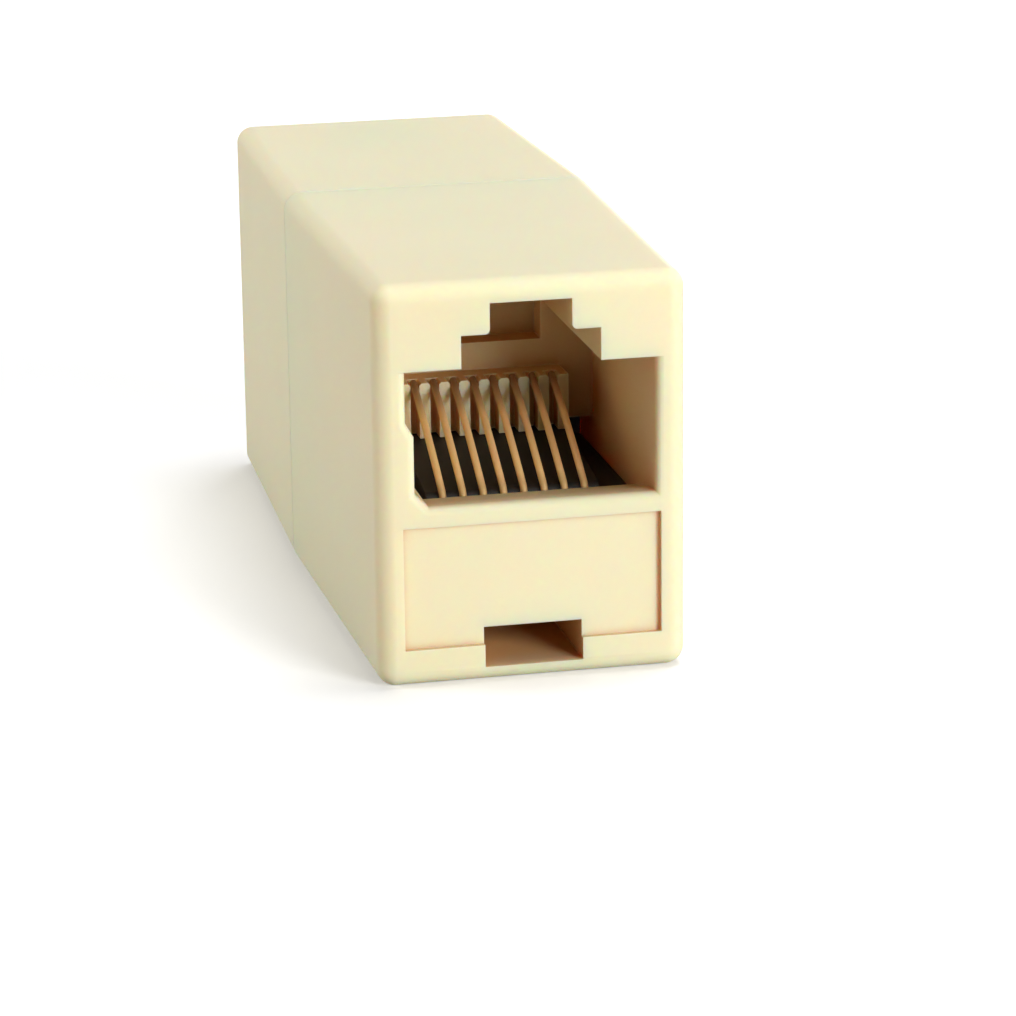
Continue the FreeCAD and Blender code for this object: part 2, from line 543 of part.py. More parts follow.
def make_lead(name, across):
    """An insulated lead from crimp to crimp, with a bare conductor at each end."""
    body = new_body(name)
    turn_one = (f"({body_length} - {lead_slant}) / 2", wire_run)
    turn_two = (f"({body_length} + {lead_slant}) / 2", f"{body_height} - {wire_run}")
    route = [(lead_start, wire_run), turn_one, turn_two,
             (f"{body_length} - {lead_start}", f"{body_height} - {wire_run}")]
    places = [FreeCAD.Vector(number(along), number(up), 0) for along, up in route]
    runs = [(b - a).Length for a, b in zip(places, places[1:])]
    half_turn = math.atan2(places[2].y - places[1].y, places[2].x - places[1].x) / 2
    setback = min(places[1].x - number(f"{insert_back} + {fit_gap}"), arc_share * runs[1])
    radius = setback / math.tan(half_turn)
    slope = (places[2] - places[1]).normalize()
    level = FreeCAD.Vector(1, 0, 0)
    path = sketch_on(body, "YZ_Plane", "0", name + "Path")
    near = [places[0], places[1] - level * setback]
    ramp = [places[1] + slope * setback, places[2] - slope * setback]
    far = [places[2] + level * setback, places[3]]
    upward = FreeCAD.Vector(0, 0, 1)
    low_centre = near[1] + FreeCAD.Vector(0, radius, 0)
    high_centre = far[0] - FreeCAD.Vector(0, radius, 0)
    first = path.addGeometry(Part.LineSegment(*near))
    low = path.addGeometry(Part.ArcOfCircle(Part.Circle(low_centre, upward, radius),
                                            -math.pi / 2, -math.pi / 2 + 2 * half_turn))
    middle = path.addGeometry(Part.LineSegment(*ramp))
    high = path.addGeometry(Part.ArcOfCircle(Part.Circle(high_centre, upward, radius),
                                             math.pi / 2, math.pi / 2 + 2 * half_turn))
    last = path.addGeometry(Part.LineSegment(*far))
    path.addConstraint(Sketcher.Constraint("Horizontal", first))
    path.addConstraint(Sketcher.Constraint("Horizontal", last))
    path.addConstraint(Sketcher.Constraint("Tangent", first, 2, low, 1))
    path.addConstraint(Sketcher.Constraint("Tangent", low, 2, middle, 1))
    path.addConstraint(Sketcher.Constraint("Tangent", middle, 2, high, 2))
    path.addConstraint(Sketcher.Constraint("Tangent", high, 1, last, 1))
    path.addConstraint(Sketcher.Constraint("Equal", low, high))
    pin_down(path, first, 1, *route[0])
    pin_down(path, last, 2, *route[3])
    for line, (along, up) in ((first, turn_one), (last, turn_two)):
        corner = path.addGeometry(Part.Point(FreeCAD.Vector(number(along), number(up), 0)), True)
        pin_down(path, corner, 1, along, up)
        path.addConstraint(Sketcher.Constraint("PointOnObject", corner, 1, middle))
    path.addConstraint(Sketcher.Constraint("Radius", low, radius))
    section = sketch_on(body, "XZ_Plane", lead_start, name + "Section")
    polygon(section, "0", wire_run, lead_diameter, 8)
    pipe = body.newObject("PartDesign::AdditivePipe", name + "Insulation")
    pipe.Profile = section
    pipe.Spine = (path, ["Edge1", "Edge2", "Edge3", "Edge4", "Edge5"])
    doc.recompute()
    for place, up, backwards in ((lead_start, wire_run, False),
                                 (f"({body_length} - {lead_start})", f"{body_height} - {wire_run}", True)):
        conductor = sketch_on(body, "XZ_Plane", place, name + "Conductor")
        polygon(conductor, "0", up, conductor_diameter, 8)
        pad(body, conductor, f"{crimp_grip} + {fit_gap}", reverse=backwards)
    length = pipe.Shape.Volume / Part.Face(section.Shape.Wires).Area
    walked = runs[0] + runs[1] + runs[2] - 4 * setback + 2 * radius * 2 * half_turn
    if abs(length - walked) > 0.01:
        raise RuntimeError(f"{name} is {length:.3f} long and its route {walked:.3f}")
    return put(body, across=across), radius


pieces = [make_front_shell(), make_rear_shell()]
pieces += [make_insert("front_insert", False), make_insert("rear_insert", True)]
for way in range(1, int(number(contact_count)) + 1):
    across = f"(({contact_count} + 1) / 2 - {way}) * {contact_pitch}"
    for end, in_rear in (("front", False), ("rear", True)):
        pieces.append(make_contact(f"{end}_contact_{way}", in_rear, across))
        pieces.append(make_crimp(f"{end}_crimp_{way}", in_rear, across))
    lead, lead_radius = make_lead(f"lead_{way}", across)
    pieces.append(lead)

doc.recompute()
print(f"lead bend radius {lead_radius:.2f} mm, {lead_radius / number(lead_diameter):.1f} diameters")

for item in doc.Objects:
    if "Invalid" in item.State or "Error" in item.State:
        raise RuntimeError(f"{item.Label} did not recompute: {item.State}")
for piece in pieces:
    if piece.Shape.isNull() or not piece.Shape.isValid() or len(piece.Shape.Solids) != 1:
        raise RuntimeError(f"{piece.Label} is not one valid solid")

os.makedirs("parts", exist_ok=True)
for piece in pieces:
    piece.Shape.exportStep(os.path.join("parts", piece.Label + ".step"))
print(f"{len(pieces)} pieces written")
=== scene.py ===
# %% [markdown]
# # An inline coupler for network cables
#
# The real object is a short cream box with a modular socket in each end. It is moulded in ABS in two
# parts that meet at a fine seam. Inside each socket eight gold-plated wires rise over a black insert.
#
# The CAD model gives the frame: where each piece is and how large. This file gives the looks. It
# loads the frame, sets the camera, mixes the finishes, lights the stage and then dresses each piece.

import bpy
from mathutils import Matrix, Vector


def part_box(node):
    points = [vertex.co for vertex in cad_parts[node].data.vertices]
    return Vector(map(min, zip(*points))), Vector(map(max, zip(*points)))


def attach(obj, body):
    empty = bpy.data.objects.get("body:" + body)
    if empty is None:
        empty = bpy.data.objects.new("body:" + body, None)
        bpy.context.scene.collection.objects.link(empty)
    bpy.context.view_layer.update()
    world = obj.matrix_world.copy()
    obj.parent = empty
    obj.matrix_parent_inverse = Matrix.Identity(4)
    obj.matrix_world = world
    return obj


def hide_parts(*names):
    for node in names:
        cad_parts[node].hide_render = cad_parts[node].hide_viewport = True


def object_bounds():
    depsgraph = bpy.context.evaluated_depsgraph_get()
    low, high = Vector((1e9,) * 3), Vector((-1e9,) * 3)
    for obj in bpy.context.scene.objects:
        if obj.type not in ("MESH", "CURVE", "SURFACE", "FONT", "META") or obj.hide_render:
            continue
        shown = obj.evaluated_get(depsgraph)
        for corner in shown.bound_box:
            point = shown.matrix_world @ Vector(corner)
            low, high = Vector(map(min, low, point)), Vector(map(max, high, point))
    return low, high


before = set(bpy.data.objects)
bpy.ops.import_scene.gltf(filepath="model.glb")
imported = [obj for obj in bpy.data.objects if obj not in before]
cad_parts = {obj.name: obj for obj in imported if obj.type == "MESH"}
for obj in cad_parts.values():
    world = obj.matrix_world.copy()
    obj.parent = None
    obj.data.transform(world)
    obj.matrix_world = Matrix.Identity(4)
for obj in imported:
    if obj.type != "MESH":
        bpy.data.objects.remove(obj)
cad_box = [list(corner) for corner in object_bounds()]
print("CAD box in metres:", cad_box)

# %% Tools of the language
import math

import bpy
from mathutils import Matrix, Vector

MM = 0.001
HEIGHT = cad_box[1][2]
HALF_LENGTH = cad_box[1][1]


def linear(hex_colour):
    """Turns an sRGB colour such as F4E8C6 into the linear red, green, blue and alpha that shaders use."""
    channels = [int(hex_colour[i:i + 2], 16) / 255 for i in (0, 2, 4)]
    return [c / 12.92 if c <= 0.04045 else ((c + 0.055) / 1.055) ** 2.4 for c in channels] + [1.0]


# %% [markdown]
# ## The camera
#
# A product photograph of a small thing is taken from some distance with a long lens, so that its
# edges stay nearly parallel. The camera stands left of the front face and above it, and looks at a
# point on that face. Building its axes from three plain angles keeps every number readable.

# %% Camera
FACE_POINT = Vector((-1.23 * MM, -HALF_LENGTH, 8.71 * MM))
CAMERA_DISTANCE = 188.6 * MM
TURN, TILT, ROLL = math.radians(12.27), math.radians(16.36), math.radians(-0.69)
FRAME_PIXELS = 1016
FOCAL_PIXELS = 3945
SENSOR_WIDTH = 36.0

forward = Vector((math.sin(TURN) * math.cos(TILT), math.cos(TURN) * math.cos(TILT), -math.sin(TILT)))
level_right = Vector((math.cos(TURN), -math.sin(TURN), 0.0))
level_up = level_right.cross(forward)
right = level_right * math.cos(ROLL) + level_up * math.sin(ROLL)
up = level_up * math.cos(ROLL) - level_right * math.sin(ROLL)

camera_data = bpy.data.cameras.new("product_camera")
camera_data.sensor_width = SENSOR_WIDTH
camera_data.lens = FOCAL_PIXELS / FRAME_PIXELS * SENSOR_WIDTH
camera_data.clip_start = 1 * MM
camera = bpy.data.objects.new("product_camera", camera_data)
bpy.context.scene.collection.objects.link(camera)
axes = Matrix((right, up, -forward)).transposed().to_4x4()
camera.matrix_world = Matrix.Translation(FACE_POINT - forward * CAMERA_DISTANCE) @ axes
bpy.context.scene.camera = camera
bpy.context.scene.view_settings.view_transform = "Standard"
print(f"camera {CAMERA_DISTANCE / MM:.0f} mm away with a {camera_data.lens:.0f} mm lens")

# %% [markdown]
# ## Materials from small steps
#
# A material is a little network of nodes. One helper adds a node, sets its values and links its
# inputs, so that each recipe below reads as a list of what the surface is made of. The world has
# such a network too, so the helper takes whatever owns one.
#
# A Mix node holds one set of sockets for each kind of data, and several share a name. They are
# reached by number, and the numbers have names here.

# %% A helper that adds one node
FACTOR, FLOAT_A, FLOAT_B, COLOUR_A, COLOUR_B = 0, 2, 3, 6, 7
FLOAT_OUT, COLOUR_OUT = 0, 2
OF_COLOURS = {"data_type": "RGBA"}
OF_FLOATS = {"data_type": "FLOAT"}


def add(owner, kind, settings=None, values=None, links=None):
    """Adds a node, sets its properties and its input values, and links other sockets into its inputs."""
    node = owner.node_tree.nodes.new(kind)
    for name, value in (settings or {}).items():
        setattr(node, name, value)
    for name, value in (values or {}).items():
        node.inputs[name].default_value = value
    for name, socket in (links or {}).items():
        owner.node_tree.links.new(socket, node.inputs[name])
    return node


def new_material(name):
    """An empty material with its output, its shader and its object coordinates ready."""
    material = bpy.data.materials.new(name)
    material.use_nodes = True
    material.node_tree.nodes.clear()
    output = add(material, "ShaderNodeOutputMaterial")
    shader = add(material, "ShaderNodeBsdfPrincipled")
    material.node_tree.links.new(shader.outputs["BSDF"], output.inputs["Surface"])
    place = add(material, "ShaderNodeTexCoord").outputs["Object"]
    return material, shader, place


def drive(material, shader, sockets):
    """Links each named input of the shader to the socket that drives it."""
    for name, socket in sockets.items():
        material.node_tree.links.new(socket, shader.inputs[name])


# %% [markdown]
# ## Cream ABS
#
# The shells are injection moulded in a satin tool, so the surface is not a mirror: a very fine grain
# breaks up its highlights. ABS also lets a little light in under its skin, which warms thin walls
# and softens the rounded edges. The real grain is nearer 0.03 mm and would vanish in the picture, so
# it is drawn at 0.12 mm. The colour drifts by a hair over some millimetres, as the melt flowed.
#
# Two masks read the shape. Ambient occlusion finds what lies deep, where light arrives only after
# many bounces on cream and the plastic looks browner. The rendered bounces give part of that brown,
# and the mask paints the rest into the colour as painted shade: a matched tone, not a second colour
# of the plastic.
# A bevel node finds the edges. A little wear is assumed there: grain rubbed smooth, colour paler.

# %% Cream ABS, satin moulded: its masks
ABS_IOR = 1.53
GRAIN = 0.12 * MM
FLOW_MARK = 9 * MM
SKY_REACH = 8 * MM
WORN_EDGE = 0.15 * MM

cream, shader, place = new_material("abs_cream_satin_moulded")
flow = add(cream, "ShaderNodeTexNoise", values={"Scale": 1 / FLOW_MARK, "Detail": 3.0},
           links={"Vector": place})
grain = add(cream, "ShaderNodeTexNoise", values={"Scale": 1 / GRAIN, "Detail": 2.0},
            links={"Vector": place})
open_sky = add(cream, "ShaderNodeAmbientOcclusion", {"samples": 8, "only_local": True},
               {"Distance": SKY_REACH})
recess_shade_mask = add(cream, "ShaderNodeMapRange", values={"From Min": 0.1, "From Max": 0.9},
            links={"Value": open_sky.outputs["AO"]})
geometry = add(cream, "ShaderNodeNewGeometry")
rounded = add(cream, "ShaderNodeBevel", {"samples": 4}, {"Radius": WORN_EDGE})
facing = add(cream, "ShaderNodeVectorMath", {"operation": "DOT_PRODUCT"},
             links={0: rounded.outputs["Normal"], 1: geometry.outputs["True Normal"]})
handled = add(cream, "ShaderNodeMapRange", values={"From Min": 0.985, "From Max": 0.80},
              links={"Value": facing.outputs["Value"]})
polished = add(cream, "ShaderNodeMath", {"operation": "MULTIPLY"},
               links={0: handled.outputs["Result"], 1: flow.outputs["Fac"]})
print("cream grain", GRAIN / MM, "mm, edges worn over", WORN_EDGE / MM, "mm")

# %% Cream ABS: its colour, gloss and grain
surface = add(cream, "ShaderNodeMix", OF_COLOURS, {COLOUR_A: linear("F0E6C0"), COLOUR_B: linear("F4EBC9")},
              {FACTOR: flow.outputs["Fac"]})
# Painted shade: where the occlusion mask finds the shell deep, the colour turns to the brown CF9F68.
painted_recess_shade = add(cream, "ShaderNodeMix", OF_COLOURS, {COLOUR_A: linear("CF9F68")},
               {FACTOR: recess_shade_mask.outputs["Result"], COLOUR_B: surface.outputs[COLOUR_OUT]})
worn = add(cream, "ShaderNodeMix", OF_COLOURS, {COLOUR_B: linear("F4EBD2")},
           {FACTOR: polished.outputs[0], COLOUR_A: painted_recess_shade.outputs[COLOUR_OUT]})
satin = add(cream, "ShaderNodeMapRange", values={"To Min": 0.60, "To Max": 0.70},
            links={"Value": grain.outputs["Fac"]})
gloss = add(cream, "ShaderNodeMix", OF_FLOATS, {FLOAT_B: 0.5},
            {FACTOR: polished.outputs[0], FLOAT_A: satin.outputs["Result"]})
bump = add(cream, "ShaderNodeBump", values={"Strength": 0.25, "Distance": 0.004 * MM},
           links={"Height": grain.outputs["Fac"]})
drive(cream, shader, {"Base Color": worn.outputs[COLOUR_OUT], "Roughness": gloss.outputs[FLOAT_OUT],
                      "Normal": bump.outputs["Normal"]})
shader.inputs["IOR"].default_value = ABS_IOR
shader.inputs["Specular IOR Level"].default_value = 0.15
shader.inputs["Subsurface Weight"].default_value = 0.6
shader.inputs["Subsurface Radius"].default_value = (1.0, 0.4, 0.15)
shader.inputs["Subsurface Scale"].default_value = 2.0 * MM
print("cream finished with", len(cream.node_tree.nodes), "nodes")

# %% [markdown]
# ## Black nylon
#
# The inserts are moulded in black nylon, which is a shade duller than ABS. Seen in a dark socket it
# is almost without form, so only a weak sheen tells the eye that it is there.

# %% Black nylon, moulded
NYLON_IOR = 1.53
black, shader, place = new_material("nylon_black_moulded")
grain = add(black, "ShaderNodeTexNoise", values={"Scale": 1 / GRAIN, "Detail": 2.0},
            links={"Vector": place})
tone = add(black, "ShaderNodeMix", OF_COLOURS, {COLOUR_A: linear("070706"), COLOUR_B: linear("0E0E0C")},
           {FACTOR: grain.outputs["Fac"]})
bump = add(black, "ShaderNodeBump", values={"Strength": 0.3, "Distance": 0.004 * MM},
           links={"Height": grain.outputs["Fac"]})
drive(black, shader, {"Base Color": tone.outputs[COLOUR_OUT], "Normal": bump.outputs["Normal"]})
shader.inputs["Roughness"].default_value = 0.55
shader.inputs["IOR"].default_value = NYLON_IOR
print("black nylon has the same grain as the cream")

# %% [markdown]
# ## Gold plate
#
# The wires are phosphor bronze with a flash of gold. The gold plate is thin and rather dull, so a pinker
# bronze shows through in patches a millimetre or two long. The wires' lower ends lie in deeper shade in
# the socket than these lamps give them, so a browner painted shade is put into their colour, its tone
# matched. It grows with distance from mid height, so the tips take it too, and this suits both sockets,
# because the rear one is turned over.

# %% Gold flash on bronze wire
PATCH = 1.4 * MM
SPECK = 0.1 * MM
PAINTED_SHADE_FROM = 1.0 * MM
PAINTED_SHADE_TO = 2.15 * MM

gold, shader, place = new_material("gold_flash_on_bronze")
patches = add(gold, "ShaderNodeTexNoise", values={"Scale": 1 / PATCH, "Detail": 4.0},
              links={"Vector": place})
specks = add(gold, "ShaderNodeTexNoise", values={"Scale": 1 / SPECK, "Detail": 2.0},
             links={"Vector": place})
bright = add(gold, "ShaderNodeMix", OF_COLOURS, {COLOUR_A: linear("F5D3A6"), COLOUR_B: linear("F6DF9C")},
             {FACTOR: patches.outputs["Fac"]})
# Painted shade: away from mid height the colour turns towards the dull brown 8F6C44, so the wires' ends
# look shaded.
level = add(gold, "ShaderNodeSeparateXYZ", links={"Vector": place})
above_middle = add(gold, "ShaderNodeMath", {"operation": "SUBTRACT"}, {1: HEIGHT / 2},
                   {0: level.outputs["Z"]})
off_middle = add(gold, "ShaderNodeMath", {"operation": "ABSOLUTE"}, links={0: above_middle.outputs[0]})
painted_end_shade = add(gold, "ShaderNodeMapRange",
             values={"From Min": PAINTED_SHADE_FROM, "From Max": PAINTED_SHADE_TO, "To Max": 0.85},
             links={"Value": off_middle.outputs[0]})
plating_and_painted_shade = add(gold, "ShaderNodeMix", OF_COLOURS, {COLOUR_B: linear("8F6C44")},
              {FACTOR: painted_end_shade.outputs["Result"], COLOUR_A: bright.outputs[COLOUR_OUT]})
gloss = add(gold, "ShaderNodeMapRange", values={"To Min": 0.62, "To Max": 0.78},
            links={"Value": specks.outputs["Fac"]})
bump = add(gold, "ShaderNodeBump", values={"Strength": 0.3, "Distance": 0.004 * MM},
           links={"Height": specks.outputs["Fac"]})
drive(gold, shader, {"Base Color": plating_and_painted_shade.outputs[COLOUR_OUT], "Roughness": gloss.outputs["Result"],
                     "Normal": bump.outputs["Normal"]})
shader.inputs["Metallic"].default_value = 1.0
print("gold in patches of", PATCH / MM, "mm")

# %% [markdown]
# ## Tin plate and PVC
#
# The crimps are tinned copper: grey, soft and a little cloudy. The leads are ordinary PVC insulation,
# each way in its own colour, with the slight orange peel that an extruder leaves.

# %% Tin plate of the crimps, bare copper of the conductors
CLOUD = 0.6 * MM
tin, shader, place = new_material("tin_plate_on_copper")
clouds = add(tin, "ShaderNodeTexNoise", values={"Scale": 1 / CLOUD, "Detail": 4.0},
             links={"Vector": place})
tone = add(tin, "ShaderNodeMix", OF_COLOURS, {COLOUR_A: linear("B9B8B2"), COLOUR_B: linear("D6D5D0")},
           {FACTOR: clouds.outputs["Fac"]})
gloss = add(tin, "ShaderNodeMapRange", values={"To Min": 0.3, "To Max": 0.5},
            links={"Value": clouds.outputs["Fac"]})
drive(tin, shader, {"Base Color": tone.outputs[COLOUR_OUT], "Roughness": gloss.outputs["Result"]})
shader.inputs["Metallic"].default_value = 1.0

copper, shader, place = new_material("copper_bare_strand")
shader.inputs["Base Color"].default_value = linear("C87A4B")
shader.inputs["Metallic"].default_value = 1.0
shader.inputs["Roughness"].default_value = 0.35
print("tin clouded over", CLOUD / MM, "mm")

# %% PVC insulation in eight colours
LEAD_COLOURS = {"blue": "2850A8", "orange": "E0701C", "black": "1A1A1A", "red": "B8201C",
                "green": "22803A", "yellow": "E8C832", "brown": "6A4226", "grey": "8C8C8E"}
PEEL = 0.25 * MM
PVC_IOR = 1.53


def pvc(name, hex_colour):
    """Extruded PVC insulation in one colour."""
    material, shader, place = new_material(f"pvc_extruded_{name}")
    peel = add(material, "ShaderNodeTexNoise", values={"Scale": 1 / PEEL}, links={"Vector": place})
    bump = add(material, "ShaderNodeBump", values={"Strength": 0.25, "Distance": 0.01 * MM},
               links={"Height": peel.outputs["Fac"]})
    drive(material, shader, {"Normal": bump.outputs["Normal"]})
    shader.inputs["Base Color"].default_value = linear(hex_colour)
    shader.inputs["Roughness"].default_value = 0.4
    shader.inputs["IOR"].default_value = PVC_IOR
    return material


insulation = {name: pvc(name, colour) for name, colour in LEAD_COLOURS.items()}
print(len(bpy.data.materials), "materials mixed")

# %% [markdown]
# ## Floor, background and light
#
# The object stands on a plain pale floor under big soft lamps. The ground of a product picture is
# white, but more light on the object would bleach it. So the floor and the world give the camera a
# white of their own, through the Light Path node, while the floor still takes the object's shadow.
# The floor's own white is weak round the object, where the shadow lies, and full further out.
#
# The floor looks whiter than it is. What it throws back on the object is the light of a pale grey
# paper, so that the underside keeps some shade. The places and powers of the key, top and left lamps
# began as a fit of rendered tones to the tones wanted, and were then rounded and changed.


# %% Two helpers: the eye's own light, and a clean selection
def glow_for_the_eye(owner, paths):
    """Is 1 for rays from the camera or from a mirror-like surface, and 0 for light that falls on things."""
    seen = add(owner, "ShaderNodeMath", {"operation": "MAXIMUM"},
               links={0: paths.outputs["Is Camera Ray"], 1: paths.outputs["Is Glossy Ray"]})
    seen_or_let_through = add(owner, "ShaderNodeMath", {"operation": "MAXIMUM"},
                              links={0: seen.outputs[0], 1: paths.outputs["Is Transmission Ray"]})
    return seen_or_let_through.outputs[0]


def deselect_all():
    """Leaves nothing selected, so that an operator works on the new piece alone."""
    if bpy.context.object and bpy.context.object.mode != "OBJECT":
        bpy.ops.object.mode_set(mode="OBJECT")
    bpy.ops.object.select_all(action="DESELECT")


# %% Floor
FLOOR_SIZE = 2.0
FLOOR_DROP = 0.01 * MM
SHADE_REACH = 0.05
WHITE_REACH = 0.60

deselect_all()
bpy.ops.mesh.primitive_plane_add(size=FLOOR_SIZE, location=(0, 0, -FLOOR_DROP))
floor = bpy.context.object
floor.name = "studio_floor"
floor_paint, floor_shader, floor_place = new_material("floor_paper_white")
floor_shader.inputs["Roughness"].default_value = 0.9
floor_shader.inputs["Specular IOR Level"].default_value = 0.0
floor_shader.inputs["Emission Color"].default_value = linear("FFFFFF")
paths = add(floor_paint, "ShaderNodeLightPath")
paper = add(floor_paint, "ShaderNodeMix", OF_COLOURS,
            {COLOUR_A: linear("B4B2AC"), COLOUR_B: linear("FAFAFA")},
            {FACTOR: paths.outputs["Is Camera Ray"]})
reach = add(floor_paint, "ShaderNodeVectorMath", {"operation": "LENGTH"}, links={0: floor_place})
glow = add(floor_paint, "ShaderNodeMapRange",
           values={"From Min": SHADE_REACH, "From Max": WHITE_REACH, "To Min": 0.28, "To Max": 1.02},
           links={"Value": reach.outputs["Value"]})
lift = add(floor_paint, "ShaderNodeMath", {"operation": "MULTIPLY"},
           links={0: glow_for_the_eye(floor_paint, paths), 1: glow.outputs["Result"]})
drive(floor_paint, floor_shader, {"Base Color": paper.outputs[COLOUR_OUT],
                                  "Emission Strength": lift.outputs[0]})
floor.data.materials.append(floor_paint)
print("floor of", FLOOR_SIZE, "m, white from", WHITE_REACH, "m outward")

# %% World
world = bpy.data.worlds.new("white_studio")
world.use_nodes = True
bpy.context.scene.world = world
world_paths = add(world, "ShaderNodeLightPath")
sky = world.node_tree.nodes["Background"]
sky.inputs["Color"].default_value = linear("FFFFFF")
world.node_tree.links.new(glow_for_the_eye(world, world_paths), sky.inputs["Strength"])
print("world white for the eye alone")


# %% Lamps
def softbox(name, place, size, power):
    """A square lamp that faces the middle of the object."""
    lamp_data = bpy.data.lights.new(name, "AREA")
    lamp_data.size = size
    lamp_data.energy = power
    lamp = bpy.data.objects.new(name, lamp_data)
    bpy.context.scene.collection.objects.link(lamp)
    lamp.location = place
    aim = Vector((0, 0, HEIGHT / 2)) - Vector(place)
    lamp.rotation_euler = aim.to_track_quat("-Z", "Y").to_euler()


# The key light comes from the front and the right, low enough to reach over the lip.
softbox("front_softbox", (0.22, -0.381, 0.104), 0.20, 1.97)
# The light from above gives the top its even tone.
softbox("top_softbox", (0.081, 0.03, 0.45), 0.20, 1.24)
# Two weak lamps keep the left side and the back from going dark.
softbox("left_fill", (-0.193, 0.034, 0.052), 0.07, 0.19)
softbox("rear_fill", (0.20, 0.32, 0.055), 0.10, 0.45)
print(len(bpy.data.lights), "softboxes")

# %% [markdown]
# ## The moulded pieces
#
# The CAD shells and inserts have the right shape, but a CAD mesh has knife edges and flat facets. A
# real moulding has a tiny radius on each edge, because no tool is cut perfectly sharp, and that
# radius is what catches the light. So each piece is a copy of its node: its loose triangles are
# merged, its flat faces are joined again, and its edges get a small bevel.

# %% Helpers: one hands a piece to the frame, one opens it for editing, one makes a moulding of a node
CAD_WELD = 0.0005 * MM
SAME_FACE = math.radians(0.5)
EDGE_FROM = math.radians(35)
SMOOTH_BELOW = math.radians(50)


def dress(piece, node, material):
    """Gives a piece its finish, hides the CAD node it stands in for and ties it to the body."""
    piece.data.materials.clear()
    piece.data.materials.append(material)
    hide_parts(node)
    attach(piece, "root")


def into_edit(piece):
    """Opens one piece in edit mode."""
    piece.select_set(True)
    bpy.context.view_layer.objects.active = piece
    bpy.ops.object.mode_set(mode="EDIT")


def moulding(node, name, material, edge_radius):
    """Copies a CAD node, welds it, rounds its edges by a small radius and shades it smoothly."""
    deselect_all()
    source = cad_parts[node]
    piece = bpy.data.objects.new(name, source.data.copy())
    bpy.context.scene.collection.objects.link(piece)
    dress(piece, node, material)
    into_edit(piece)
    bpy.ops.mesh.select_all(action="SELECT")
    bpy.ops.mesh.remove_doubles(threshold=CAD_WELD)
    bpy.ops.mesh.dissolve_limited(angle_limit=SAME_FACE)
    bpy.ops.object.mode_set(mode="OBJECT")
    bevel = piece.modifiers.new("moulded_edges", "BEVEL")
    bevel.width = edge_radius
    bevel.segments = 2
    bevel.limit_method = "ANGLE"
    bevel.angle_limit = EDGE_FROM
    bevel.use_clamp_overlap = True
    bpy.ops.object.modifier_apply(modifier=bevel.name)
    bpy.ops.object.shade_smooth_by_angle(angle=SMOOTH_BELOW)
    flatness = piece.modifiers.new("flat_faces_stay_flat", "WEIGHTED_NORMAL")
    flatness.keep_sharp = True
    bpy.ops.object.modifier_apply(modifier=flatness.name)
    print(name, len(piece.data.polygons), "faces")


# %% Shells and inserts
EDGE_RADIUS = 0.06 * MM
for end in ("front", "rear"):
    moulding(f"{end}_shell", f"{end}_shell_moulding", cream, EDGE_RADIUS)
    moulding(f"{end}_insert", f"{end}_insert_moulding", black, EDGE_RADIUS / 2)

# %% [markdown]
# ## The spring wires
#
# Each contact is one round wire. Its tail lies in the insert, it bends round the nose, and a long leg
# with a slight bow rises to the comb. The way to model a bent wire is the way it is bent: start with a
# circle at the tail, extrude it along the straight, and spin it about the centre of each bend. One
# wire is modelled for the first way and copied to the others.

# %% Sizes of the wire, read from the frame
WAYS = 8
low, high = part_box("front_contact_1")
WIRE_RADIUS = 0.18 * MM
BEND_RADIUS = 0.75 * MM
BOW_RADIUS = 60 * MM
RISE = math.radians(32.2)
TIP_Y = -9.6 * MM
TIP_BEVEL = 0.08 * MM
WIRE_SIDES = 24
NOSE_STEPS = 20
BOW_STEPS = 8
TIP_STEPS = 3
WIRE_WELD = 0.001 * MM
TAIL = Vector(((low.x + high.x) / 2, high.y, low.z + WIRE_RADIUS))
PITCH = (low.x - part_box(f"front_contact_{WAYS}")[0].x) / (WAYS - 1)
print(f"wires on a pitch of {PITCH / MM:.3f} mm, first tail at x {TAIL.x / MM:.2f} mm")


# %% Helpers that draw a round wire and copy it
def start_wire(name, end, radius):
    """A filled circle that faces along Y, from which a wire is drawn."""
    deselect_all()
    bpy.ops.mesh.primitive_circle_add(vertices=WIRE_SIDES, radius=radius, fill_type="NGON", location=end,
                                      rotation=(math.radians(90), 0, 0))
    piece = bpy.context.object
    piece.name = name
    bpy.ops.object.transform_apply(location=True, rotation=True, scale=True)
    into_edit(piece)
    bpy.ops.mesh.select_all(action="SELECT")
    return piece


def draw_straight(step):
    """Draws the selected end of the wire out along a straight step."""
    bpy.ops.mesh.extrude_region_move(TRANSFORM_OT_translate={"value": step})


def draw_bend(steps, angle, centre, axis=(1, 0, 0)):
    """Turns the selected end of the wire about the centre of a bend."""
    bpy.ops.mesh.spin(steps=steps, angle=angle, center=centre, axis=axis)


def finish_wire():
    """Welds the wire in edit mode, turns its faces outward and shades it smoothly."""
    bpy.ops.mesh.select_all(action="SELECT")
    bpy.ops.mesh.remove_doubles(threshold=WIRE_WELD)
    bpy.ops.mesh.normals_make_consistent(inside=False)
    bpy.ops.object.mode_set(mode="OBJECT")
    bpy.ops.object.shade_smooth_by_angle(angle=SMOOTH_BELOW)


def copy_of(piece, name, shift=(0, 0, 0), turned=False):
    """A copy with a mesh of its own, moved by the shift and, if asked, turned end for end about X."""
    twin = bpy.data.objects.new(name, piece.data.copy())
    bpy.context.scene.collection.objects.link(twin)
    twin.data.transform(Matrix.Translation(shift))
    if turned:
        twin.data.transform(Matrix.Translation((0, 0, HEIGHT)) @ Matrix.Rotation(math.pi, 4, "X"))
    return twin


# %% One spring wire, bent as it is in the tool
nose = Vector((TAIL.x, low.y + WIRE_RADIUS + BEND_RADIUS, TAIL.z + BEND_RADIUS))
away = Vector((0, -math.sin(RISE), math.cos(RISE)))
bow_centre = nose + away * (BEND_RADIUS - BOW_RADIUS)
bow_angle = math.acos((TIP_Y - bow_centre.y) / BOW_RADIUS)

